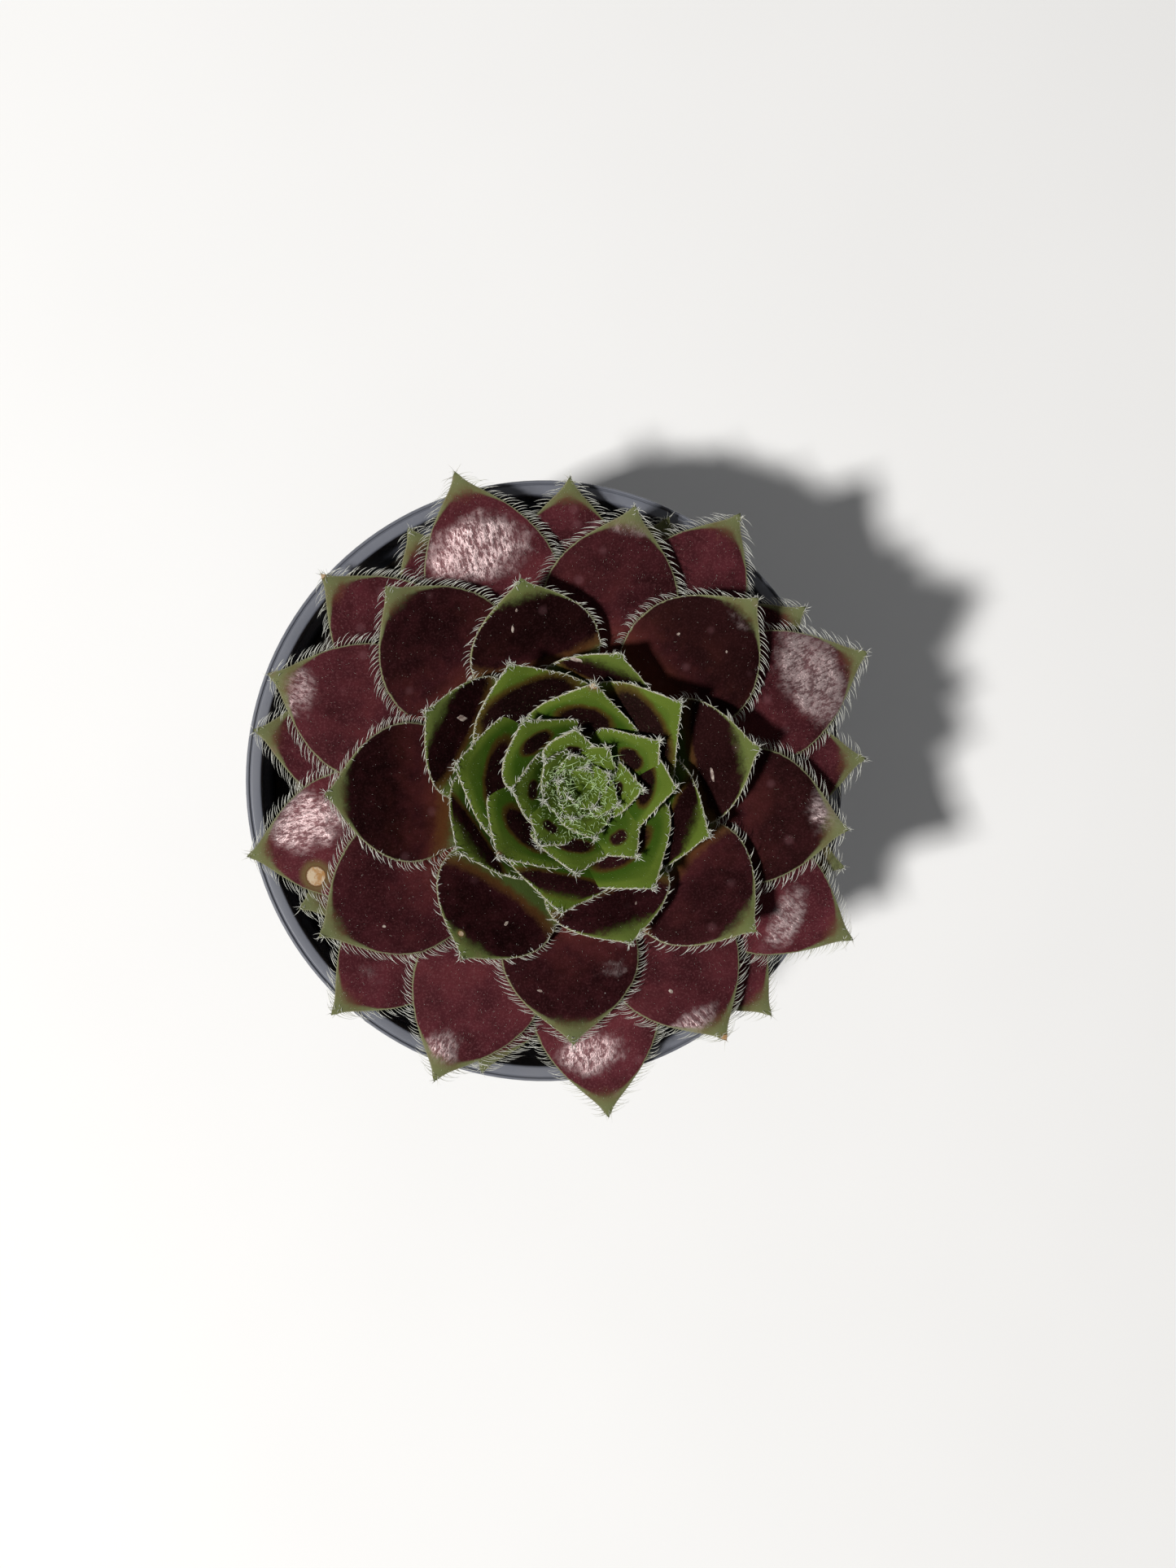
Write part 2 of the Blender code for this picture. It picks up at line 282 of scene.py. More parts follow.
# %% [markdown]
# ## Pot
# A nursery pot is blown or moulded from thin black polypropylene. From above only the rim shows: a
# thin raised edge, a fine groove, and a flat band with a slate sheen that ends at the wall inside. The pot is
# one turned profile, given to a Screw modifier, with plain drain holes cut through the raised ring
# of its floor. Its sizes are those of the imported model.

# %% Pot shape
POT_RIM_R = 45.0
POT_BASE_R = 32.0
POT_H = 68.0
BAND_H = 9.0
FLOOR = 1.2
RING_LIFT = 2.0
POT_STEPS = 144


def fillet(points, radius, pieces=3):
    """Round every inner corner of a profile with a short arc."""
    out = [points[0]]
    for before, here, after in zip(points, points[1:], points[2:]):
        here = Vector(here)
        back = Vector(before) - here
        ahead = Vector(after) - here
        reach = min(radius, back.length * 0.45, ahead.length * 0.45)
        a = here + back.normalized() * reach
        b = here + ahead.normalized() * reach
        for i in range(pieces + 1):
            s = i / pieces
            out.append(tuple(a * (1 - s) ** 2 + here * 2 * s * (1 - s) + b * s * s))
    out.append(points[-1])
    return out


def turned_object(name, profile, steps):
    """A (radius, height) profile in millimetres, turned round the pot's axis."""
    mesh = bpy.data.meshes.new(name)
    mesh.from_pydata([(r * MM, 0.0, z * MM) for r, z in profile], [(i, i + 1) for i in range(len(profile) - 1)], [])
    obj = add_object(name, mesh)
    screw = obj.modifiers.new("Turned", "SCREW")
    screw.axis = "Z"
    screw.steps = steps
    screw.render_steps = steps
    screw.use_merge_vertices = True
    screw.merge_threshold = 0.00001
    return obj


def plain_mesh(obj, name):
    """The mesh that an object's modifiers give. The object itself is removed."""
    bpy.context.view_layer.update()
    graph = bpy.context.evaluated_depsgraph_get()
    mesh = bpy.data.meshes.new_from_object(obj.evaluated_get(graph))
    mesh.name = name
    bpy.data.objects.remove(obj)
    return mesh


def drain_cutters(count, ring_r, hole_r):
    cutters = []
    for i in range(count):
        angle = 2 * math.pi * (i + 0.5) / count
        bm = bmesh.new()
        bmesh.ops.create_cone(
            bm, cap_ends=True, segments=40, radius1=hole_r * MM, radius2=hole_r * MM, depth=12 * MM
        )
        mesh = bpy.data.meshes.new("drain")
        bm.to_mesh(mesh)
        bm.free()
        cutter = add_object("drain", mesh)
        cutter.location = (math.cos(angle) * ring_r * MM, math.sin(angle) * ring_r * MM, FLOOR * MM)
        cutters.append(cutter)
    return cutters


def pot_mesh():
    neck = POT_RIM_R - 2.4
    shoulder = POT_H - BAND_H
    wall = 1.0
    profile = [
        (0.0, FLOOR), (10.6, FLOOR), (12.0, FLOOR + RING_LIFT), (24.6, FLOOR + RING_LIFT), (26.0, FLOOR),
        (POT_BASE_R - wall - 0.5, FLOOR), (POT_BASE_R - wall, FLOOR + 0.6), (neck - wall, shoulder - 0.6),
        (POT_RIM_R - 2.5, shoulder + 1.4), (POT_RIM_R - 2.3, POT_H - 0.6), (POT_RIM_R - 2.1, POT_H - 0.25),
        (POT_RIM_R - 0.75, POT_H - 0.15), (POT_RIM_R - 0.6, POT_H - 0.45), (POT_RIM_R - 0.45, POT_H - 0.05),
        (POT_RIM_R - 0.2, POT_H), (POT_RIM_R, POT_H - 0.4),
        (POT_RIM_R - 0.5, shoulder), (neck, shoulder - 0.9), (POT_BASE_R, 0.8),
        (POT_BASE_R - 0.7, 0.0), (26.8, 0.0), (25.4, RING_LIFT), (11.2, RING_LIFT), (9.8, 0.0), (0.0, 0.0),
    ]
    obj = turned_object("pot_turning", fillet(profile, 0.45), POT_STEPS)
    cutters = drain_cutters(6, 18.2, 3.0)
    for cutter in cutters:
        cut = obj.modifiers.new("Drain", "BOOLEAN")
        cut.operation = "DIFFERENCE"
        cut.solver = "EXACT"
        cut.object = cutter
    mesh = plain_mesh(obj, "pot")
    for cutter in cutters:
        bpy.data.objects.remove(cutter)
    mesh.shade_smooth()
    mesh.set_sharp_from_angle(angle=math.radians(40))
    return mesh


pot_shape = pot_mesh()
print("pot:", len(pot_shape.polygons), "faces")

# %% [markdown]
# ### Pot finish
# Polypropylene is a dark grey-blue rather than black, with a soft gloss. Three things break the
# gloss up: a fine grain from the mould, shallow rings left by turning it out, and light scuffs and
# dried splashes of soil, thickest on the lip and low on the wall; on the lip their paler colour is
# partly painted sheen. They change colour and roughness together, which is why one mask feeds both.
# The flat top of the lip is also painted a paler grey-blue, a painted sheen where the lamp catches it.


# %% Pot finish
def pot_finish():
    finish = Finish("pot_plastic", Roughness=0.4, Specular_IOR_Level=0.5)
    height = finish.node("ShaderNodeSeparateXYZ", {}, {0: finish.place()}, "Z") * 1000.0
    flat = finish.node("ShaderNodeVectorMath", {"operation": "MULTIPLY"}, {0: finish.place(), 1: (1.0, 1.0, 0.0)})
    from_axis = finish.node("ShaderNodeVectorMath", {"operation": "LENGTH"}, {0: flat}, "Value") * 1000.0
    inside = from_axis.step(POT_RIM_R - 2.0, POT_RIM_R - 2.6) * height.step(46.0, 58.0)
    grain = finish.noise(0.35, 3.0, 0.6)
    rings = finish.noise(7.0, 3.0, 0.6, stretch=(0.15, 0.15, 6.0))
    blotch = finish.noise(14.0, 4.0, 0.6)
    scratches = finish.noise(1.6, 4.0, 0.7, stretch=(1.0, 1.0, 0.12)).step(0.60, 0.72)
    lip = height.step(62.0, 67.6)
    # scuffs and soil, plus a paler band on the lip that is painted sheen on the lit rim top
    dust_and_sheen = (blotch.step(0.45, 0.72) * 0.5 + scratches * 0.35 + lip * 0.22).at_most(1.0)
    splash = finish.cells(2.6)[0].step(0.18, 0.08) * blotch.step(0.5, 0.62) * height.step(40.0, 4.0)
    plastic = finish.blend(blotch, (0.022, 0.024, 0.031), (0.046, 0.050, 0.064))
    # painted sheen: the flat top of the lip is painted a paler grey-blue, as if the lamp caught it
    slate_with_painted_light = finish.blend(lip * (0.50 + blotch * 0.50), plastic, (0.165, 0.176, 0.215))
    # painted fill light: the wall just inside the rim lies in shade and is painted a lighter blue-grey
    slate_with_painted_light = finish.blend(inside * 0.8, slate_with_painted_light, (0.150, 0.165, 0.215))
    dusted_and_sheened = finish.blend(dust_and_sheen * 0.5, slate_with_painted_light, (0.130, 0.132, 0.138))
    soiled = finish.blend(splash * 0.8, dusted_and_sheened, (0.085, 0.062, 0.045))
    finish.wear(Base_Color=soiled, Roughness=0.34 + dust_and_sheen * 0.3 + grain * 0.1)
    finish.relief(grain * 0.5 + rings * 0.5, 0.05, 0.5)
    return finish.material


pot = make_piece("pot_shell", pot_shape, "pot", pot_finish())
print("pot box:", [round(x, 4) for x in pot.dimensions])

# %% [markdown]
# ## Soil
# Between the lowest leaves and the rim the potting mix shows as dark crumbs deep in the shade. The
# bed is a turned solid with a lumpy top. Loose crumbs, bark chips and a few pale grains of grit lie on
# it: each is a small sphere pushed in and out by noise, so that no two are alike.

# %% Soil bed
SOIL_TOP = 59.4
AXIS = Vector((1.6, -1.0, 0.0))


def soil_mesh():
    profile = [(0.0, SOIL_TOP)]
    profile += [(r, SOIL_TOP - 1.0 * ease(r, 14.0, 34.0)) for r in np.arange(1.0, 38.0, 1.0)]
    profile += [(38.6, SOIL_TOP - 1.3), (40.7, SOIL_TOP - 2.2), (31.0, 2.5), (30.2, 1.5), (26.4, 1.5)]
    profile += [(25.0, 3.5), (11.6, 3.5), (10.2, 1.5), (0.0, 1.5)]
    mesh = plain_mesh(turned_object("soil_turning", profile, 120), "soil")
    for vert in mesh.vertices:
        p = vert.co / MM
        inside = ease(math.hypot(p.x, p.y), 40.4, 38.5)
        if p.z > SOIL_TOP - 2.0:
            lumps = noise.fractal(p * 0.22, 1.0, 2.0, 4) * 0.9 + noise.noise(p * 1.3) * 0.5
            vert.co.z += (lumps * inside - 0.35 * inside) * MM
    mesh.shade_smooth()
    return mesh


def crumb_mesh(name, count, sizes, reach, seed):
    """Loose grains scattered over the bed, fewer towards the middle where the leaves lie."""
    draw = np.random.default_rng(seed)
    bm = bmesh.new()
    for _ in range(count):
        r = reach * math.sqrt(draw.uniform(0.30, 1.0))
        angle = draw.uniform(0, 2 * math.pi)
        size = draw.uniform(*sizes)
        spot = Vector((r * math.cos(angle), r * math.sin(angle), SOIL_TOP - 1.0 + size * 0.25))
        made = bmesh.ops.create_icosphere(bm, subdivisions=1, radius=1.0)["verts"]
        squash = Vector((draw.uniform(0.6, 1.2), draw.uniform(0.6, 1.2), draw.uniform(0.4, 0.8))) * size
        spin = Matrix.Rotation(draw.uniform(0, 6.28), 3, "Z") @ Matrix.Rotation(draw.uniform(-0.6, 0.6), 3, "X")
        shift = draw.uniform(-50, 50)
        for vert in made:
            p = vert.co * (1.0 + 0.45 * noise.noise(vert.co * 1.3 + Vector((shift, 0, 0))))
            vert.co = (spot + spin @ Vector(p * squash)) * MM
    mesh = bpy.data.meshes.new(name)
    bm.to_mesh(mesh)
    bm.free()
    return mesh


def soil_finish():
    finish = Finish("potting_mix", Roughness=0.95)
    clod = finish.noise(2.2, 5.0, 0.65)
    fine = finish.noise(0.5, 3.0, 0.6)
    fibre = finish.noise(1.4, 3.0, 0.6, stretch=(1.0, 0.18, 1.0)).step(0.60, 0.68)
    damp = finish.blend(clod, (0.009, 0.006, 0.005), (0.040, 0.026, 0.017))
    fibrous = finish.blend(fibre * 0.7, damp, (0.085, 0.055, 0.034))
    finish.wear(Base_Color=fibrous, Roughness=0.75 + fine * 0.22)
    finish.relief(clod * 0.6 + fine * 0.4, 0.5, 0.8)
    return finish.material


def grit_finish():
    finish = Finish("pale_grit", Roughness=0.8)
    tone = finish.cells(3.0)[1]
    speck = finish.noise(0.3, 3.0, 0.6)
    pale = finish.blend(tone, (0.24, 0.21, 0.17), (0.50, 0.48, 0.43))
    finish.wear(Base_Color=finish.blend(speck.step(0.58, 0.7) * 0.6, pale, (0.10, 0.08, 0.06)))
    finish.relief(speck, 0.08, 0.6)
    return finish.material


mix_finish = soil_finish()
soil_bed = make_piece("soil_bed", soil_mesh(), "soil", mix_finish)
crumbs = crumb_mesh("soil_crumbs", 520, (0.4, 1.1), 38.0, 11)
make_piece("soil_crumbs", crumbs, "soil", mix_finish)
make_piece("soil_grit", crumb_mesh("soil_grit", 70, (0.3, 0.8), 38.5, 12), "soil", grit_finish())
print("soil:", len(soil_bed.data.polygons), "faces in the bed,", len(crumbs.polygons), "in the crumbs")

# %% [markdown]
# ## How the rosette grows
# Each new leaf stands 137.5 degrees round from the one before, the golden angle, so leaves one, two
# or three turns apart never hide each other. Leaf 0 is the youngest dark leaf, older leaves count up
# and lie lower and further out, and the green heart counts down. A table says how a leaf changes
# along that count, and one smooth curve is read between its rows. A leaf's middle line is a Bezier
# curve in the upright plane through the plant's axis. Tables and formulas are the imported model's, so
# the fine leaves lie inside its coarse ones.

# %% Growth tables
GOLDEN = 137.508
PHASE = -20.5
OLDEST = 38
YOUNGEST_DARK = 0
YOUNGEST = -28
HEART_TURN = -13.0
# where a leaf strays from the rule: degrees of turn, millimetres further out
NUDGE = {
    -17: (0, -1.2), -16: (-8, -0.4), -15: (2, 0.8), -14: (6, -2.0), -13: (-7, 1.2), -12: (4, -1.4),
    -11: (-9, 0.0), -10: (-2, -0.9), -9: (2, -0.8), -8: (4, -1.5), -7: (-2, 0.7), -6: (0, -0.9),
    -5: (-3, 1.0), -4: (1, 2.0), -3: (9, 1.0), -2: (4, 0.3), -1: (5, 2.2), 1: (4, -0.5),
    2: (11, -2.0), 4: (5, 0.0), 6: (1, 1.2), 7: (9, 0.5), 8: (1, 0.6),
    9: (0, 1.4), 10: (2, 1.6), 11: (2, -1.2), 12: (4, 0.0), 14: (-4, 0.0), 15: (1, -1.5),
    16: (2, -1.2), 17: (-2, 0.8), 18: (0, 1.8), 19: (-2, -0.8), 20: (1, 0.7), 22: (-2, -0.4),
    23: (1, 0.0), 24: (-1, 1.5), 25: (-3, 0.0), 26: (1, -1.8), 27: (-3, 1.0), 28: (0, -0.6),
    30: (-5, 0.8), 32: (-5, -1.2), 35: (-3, -1.0), 37: (0, -3.0),
}
# leaves that bend over or roll: tip lower, then change of slope at base and tip, then roll
BENT = {
    17: (1.5, 8.0, -22.0, -6.0), 20: (1.0, 0.0, -4.0, -13.0), 22: (6.5, 16.0, -34.0, 0.0),
    24: (2.5, 8.0, -16.0, 11.0), 19: (1.0, 4.0, -10.0, 3.0),
}
# leaves whose point swings round: degrees, anticlockwise from above
SWIVEL = {-14: -16, -12: -7, -11: 8, -9: -10, -8: -9, -7: 6, -6: -6, -3: -9, -1: -6, 1: 8, 2: -6}
# leaf, tip radius, tip height, base radius, base height, slope at base and tip, width, thickness
GROWTH = (
    (-30, 1.6, 88.6, 0.6, 84.2, 84, 80, 3.6, 1.3),
    (-20, 6.0, 91.0, 1.0, 82.4, 62, 66, 7.0, 1.5),
    (-13, 10.9, 92.2, 1.3, 80.9, 51, 59, 9.8, 1.7),
    (-10, 12.9, 92.7, 1.5, 80.3, 47, 57, 13.6, 1.8),
    (-5, 15.9, 93.0, 1.8, 79.0, 42, 54, 18.4, 2.0),
    (-1, 17.8, 92.9, 2.2, 77.8, 38, 52, 19.2, 2.1),
    (0, 18.8, 91.6, 2.0, 74.8, 34, 56, 18.6, 2.1),
    (5, 26.0, 89.0, 2.4, 73.0, 30, 48, 19.0, 2.5),
    (10, 36.0, 85.4, 2.6, 71.6, 24, 34, 20.4, 2.8),
    (15, 43.0, 81.6, 2.8, 69.6, 20, 22, 20.4, 2.8),
    (20, 47.8, 78.2, 3.0, 67.6, 18, 14, 19.4, 2.8),
    (30, 45.4, 74.2, 3.0, 63.8, 14, 14, 18.2, 2.6),
    (38, 42.6, 70.8, 3.0, 61.2, 10, 20, 17.6, 2.4),
)
# share of the length, half width of a grown leaf, half width of a young one
OUTLINE = (
    (0.00, 0.42, 0.52), (0.12, 0.46, 0.62), (0.30, 0.62, 0.84), (0.45, 0.83, 0.98),
    (0.58, 0.985, 0.98), (0.70, 0.955, 0.76), (0.78, 0.81, 0.54), (0.84, 0.635, 0.38),
    (0.88, 0.48, 0.28), (0.915, 0.33, 0.20), (0.945, 0.19, 0.13), (0.972, 0.085, 0.07),
    (1.00, 0.02, 0.03),
)
YOUNG_SPAN = 4.0
OLD_SPAN = 14.0
FLATTER = (1.6, 0.6)
SPOON = 0.09
print("leaves:", OLDEST - YOUNGEST + 1)


# %% One leaf as a surface
class Leaf:
    """A leaf as a formula: a point for each place along it and each angle round its section."""

    def __init__(self, number):
        self.number = number
        lag = HEART_TURN * clamp((-number - 6) / 6.0)
        wobble = 2.0 * noise.noise(Vector((number * 0.73, 4.1, 0.0)))
        turn_more, further = NUDGE.get(number, (0, 0))
        turn = math.radians(PHASE - GOLDEN * number + lag + wobble + turn_more)
        self.ahead = Vector((math.cos(turn), math.sin(turn), 0.0))
        self.beside = Vector((-math.sin(turn), math.cos(turn), 0.0))
        rt, zt, rb, zb, a, b = (along(GROWTH, number, column) for column in range(1, 7))
        rt += further
        lower, more_a, more_b, self.roll = BENT.get(number, (0.0, 0.0, 0.0, 0.0))
        zt, a, b = zt - lower, a + more_a, b + more_b
        self.width = along(GROWTH, number, 7)
        self.thickness = along(GROWTH, number, 8)
        self.length = math.hypot(rt - rb, zt - zb)
        a, b = math.radians(a), math.radians(b)
        reach_a, reach_b = 0.38 * self.length, 0.34 * self.length
        self.curve = (
            (rb, zb),
            (rb + reach_a * math.cos(a), zb + reach_a * math.sin(a)),
            (rt - reach_b * math.cos(b), zt - reach_b * math.sin(b)),
            (rt, zt),
        )
        self.swivel = math.radians(SWIVEL.get(number, 0.0))
        self.young = clamp((2 - number) / YOUNG_SPAN)
        self.old = clamp(number / OLD_SPAN)
        self.seed = (number * 0.61803398875) % 1.0
        self.age = (number - YOUNGEST) / (OLDEST - YOUNGEST)

    def midline(self, t):
        p0, p1, p2, p3 = self.curve
        s = 1.0 - t
        w0, w1, w2, w3 = s ** 3, 3 * s * s * t, 3 * s * t * t, t ** 3
        r = w0 * p0[0] + w1 * p1[0] + w2 * p2[0] + w3 * p3[0]
        z = w0 * p0[1] + w1 * p1[1] + w2 * p2[1] + w3 * p3[1]
        v0, v1, v2 = 3 * s * s, 6 * s * t, 3 * t * t
        dr = v0 * (p1[0] - p0[0]) + v1 * (p2[0] - p1[0]) + v2 * (p3[0] - p2[0])
        dz = v0 * (p1[1] - p0[1]) + v1 * (p2[1] - p1[1]) + v2 * (p3[1] - p2[1])
        size = math.hypot(dr, dz)
        return r, z, dr / size, dz / size

    def half_width(self, t):
        share = mix(along(OUTLINE, t, 1), along(OUTLINE, t, 2), self.young)
        return 0.5 * self.width * share

    def point(self, t, angle, skin=0.0):
        """Place in metres. skin lifts it off the leaf's own surface, in millimetres."""
        across, side = math.cos(angle), math.sin(angle)
        r, z, tr, tz = self.midline(t)
        half = self.half_width(t)
        wave = noise.noise(Vector((t * 7.0, self.number * 3.7, math.copysign(5.0, across))))
        half *= 1.0 + 0.012 * wave * across * across
        thick = 0.5 * self.thickness * (0.72 + 0.5 * math.sin(math.pi * t ** 0.8))
        thick *= (1.0 - 0.72 * t ** 6) * min(1.0, 0.25 + half / 2.2)
        lens = 0.45 + 0.55 * abs(side)
        lift = side * lens * thick * (1.15 if side < 0 else 0.85) + math.copysign(skin, side)
        groove = math.exp(-((across / 0.22) ** 2)) * math.sin(math.pi * min(t * 1.05, 1.0))
        lift -= max(side, 0.0) * 0.16 * groove
        lift += self.old * SPOON * across * across * half * math.sin(math.pi * min(t, 0.9))
        lift += across * half * math.tan(math.radians(self.roll))
        around = max(r, 1.0) * (1.0 + mix(*FLATTER, self.old))
        swing = across * half / around
        inward = around * (1.0 - math.cos(swing)) * (1.0 - self.old * tr * tr)
        over = around * math.sin(swing) - tz * lift * math.sin(swing)
        yaw = self.swivel * ease(t, 0.30, 0.85)
        over, shift = over * math.cos(yaw) + (r - self.curve[3][0]) * math.tan(yaw), over * math.sin(yaw)
        r += -inward - tz * lift * math.cos(swing) - shift
        z += tr * lift + self.old * tr * tz * inward
        return (AXIS + self.ahead * r + self.beside * over + Vector((0.0, 0.0, z))) * MM

    def ways(self, t, angle):
        """Three unit directions at a point: towards the tip, round the section, and out of the skin."""
        step_t, step_a = 0.012, 0.03
        low, high = max(t - step_t, 0.0), min(t + step_t, 1.0)
        forward = (self.point(high, angle) - self.point(low, angle)).normalized()
        around = (self.point(t, angle + step_a) - self.point(t, angle - step_a)).normalized()
        return forward, around, around.cross(forward).normalized()


leaves = [Leaf(number) for number in range(YOUNGEST, OLDEST + 1)]
print("longest leaf: %.1f mm" % max(leaf.length for leaf in leaves))

# %% [markdown]
# ## Leaf meshes
# A leaf is a closed skin: rings of points stand along it, close together towards the drawn-out point,
# and run round the section from margin to margin. Each point also keeps a few numbers about where it
# is on its leaf: how far it is from the margin and from the tip, and how deep it is in the dark
# patch. The finish reads these as attributes. That is much better than painting by position in the
# room, because the same finish then follows every leaf, whichever way that leaf points.

# %% Leaf mesh builder
RINGS = [0.0, 0.04, 0.09] + [0.14 + 0.04 * i for i in range(16)]
RINGS += [0.765, 0.79, 0.815, 0.84, 0.86, 0.88, 0.895, 0.91, 0.925, 0.94, 0.955, 0.97, 0.985, 1.0]
SIDES = 26
# leaf, then the dark patch: its middle below the tip, its half length and half width, in millimetres
PATCH = (
    (-28, 4.0, 0.3, 0.3),
    (-18, 4.4, 0.8, 0.6),
    (-16, 5.0, 1.2, 1.2),
    (-14, 5.0, 1.4, 1.4),
    (-12, 5.4, 1.6, 1.5),
    (-11, 6.4, 2.0, 2.0),
    (-10, 6.0, 1.7, 2.8),
    (-9, 5.8, 2.1, 2.7),
    (-8, 5.6, 2.0, 3.2),
    (-7, 8.2, 2.8, 4.2),
    (-6, 7.6, 3.1, 4.3),
    (-5, 9.0, 2.6, 5.0),
    (-4, 9.4, 3.0, 5.4),
    (-3, 8.2, 3.8, 7.2),
    (-2, 5.2, 2.5, 8.0),
    (-1, 8.6, 4.4, 8.4),
    (0, 4.8, 3.6, 9.5),
    (1, 4.2, 2.7, 10.0),
    (2, 4.2, 2.8, 10.0),
    (3, 6.2, 4.8, 11.0),
    (4, 5.8, 4.6, 12.0),
    (5, 6.6, 5.2, 12.5),
    (6, 8.2, 6.8, 14.0),
    (8, 9.0, 7.4, 15.0),
    (9, 11.0, 9.6, 18.0),
    (12, 15.0, 14.0, 24.0),
    (20, 22.0, 22.0, 40.0),
)
# leaf, then its patch of painted sheen, where the down glitters: middle below the tip and aside, half length and half
# width, strength
SHEEN_PATCHES = {
    13: (3.6, 2.6, 3.2, 4.0, 0.75), 15: (3.4, 0.0, 1.8, 5.0, 0.5), 16: (4.9, -2.7, 2.0, 4.4, 0.9),
    17: (5.2, 1.5, 3.4, 4.4, 0.6), 18: (9.4, 0.0, 4.8, 8.4, 1.0), 19: (5.0, -1.0, 3.2, 2.8, 0.7),
    20: (12.4, 0.8, 5.4, 7.6, 1.0), 21: (10.8, -2.0, 2.6, 5.2, 0.9), 22: (10.0, -3.2, 6.2, 4.2, 1.0),
    24: (10.4, -1.5, 3.4, 4.8, 1.0), 11: (12.0, 6.2, 1.6, 2.4, 0.6), 27: (9.0, 0.0, 3.0, 3.0, 0.3), 10: (4.4, 0.0, 1.6, 3.0, 0.35),
}
# leaf, then a healed wound or a dried point: below the tip, aside, radius
SCARS = {22: (9.9, 4.8, 1.5), 6: (3.6, -1.9, 0.45), 16: (0.2, 0.0, 0.8), -6: (0.2, 0.0, 0.9), -7: (0.4, 0.0, 0.7), 25: (0.2, 0.0, 0.6)}
FIELDS = (
    "along_leaf", "from_margin", "from_tip", "sideways", "patch", "sheen_patch", "scar_down", "scar_aside",
    "age", "seed", "upper",
)


def leaf_numbers(leaf, t, angle):
    """What the finish needs to know at one point, in the order of FIELDS."""
    across = math.cos(angle)
    half = leaf.half_width(t)
    to_tip = (1.0 - t) * leaf.length * 1.05
    to_margin = half * (1.0 - abs(across))
    middle, tall, wide = (along(PATCH, leaf.number, column) for column in (1, 2, 3))
    depth = math.hypot((to_tip - middle) / tall, across * half / wide)
    # strength of the painted sheen patch at this point, read from its table
    below, aside, high, broad, strength = SHEEN_PATCHES.get(leaf.number, (9.0, 0.0, 3.0, 3.0, 0.03))
    sheen_patch = strength * math.exp(-(((to_tip - below) / high) ** 2 + ((across * half - aside) / broad) ** 2) ** 1.5)
    below, aside, size = SCARS.get(leaf.number, (99.0, 0.0, 1.0))
    scar = (to_tip - below) / size, (across * half - aside) / size
    return t, to_margin, to_tip, across * half, depth, sheen_patch, *scar, leaf.age, leaf.seed, math.sin(angle)


def leaf_skins(name, group):
    """One mesh that holds the skins of several leaves."""
    places, faces, numbers = [], [], []
    for leaf in group:
        start = len(places)
        for t in RINGS[1:-1]:
            for i in range(SIDES):
                angle = 2 * math.pi * i / SIDES
                angle -= 0.22 * math.sin(2 * angle)
                places.append(leaf.point(t, angle))
                numbers.append(leaf_numbers(leaf, t, angle))
        rings = len(RINGS) - 2
        root, tip = len(places), len(places) + 1
        for t in (0.0, 1.0):
            places.append(leaf.point(t, math.pi / 2))
            numbers.append(leaf_numbers(leaf, t, math.pi / 2))
        for k in range(SIDES):
            k2 = (k + 1) % SIDES
            for j in range(rings - 1):
                a = start + j * SIDES
                faces.append((a + k, a + k2, a + SIDES + k2, a + SIDES + k))
            last = start + (rings - 1) * SIDES
            faces.append((root, start + k2, start + k))
            faces.append((last + k, last + k2, tip))
    mesh = bpy.data.meshes.new(name)
    mesh.from_pydata(places, [], faces)
    for field, values in zip(FIELDS, zip(*numbers)):
        mesh.attributes.new(field, "FLOAT", "POINT").data.foreach_set("value", values)
    mesh.shade_smooth()
    return mesh


trial = leaf_skins("trial", leaves[:1])
print("one leaf:", len(trial.polygons), "faces")
bpy.data.meshes.remove(trial)
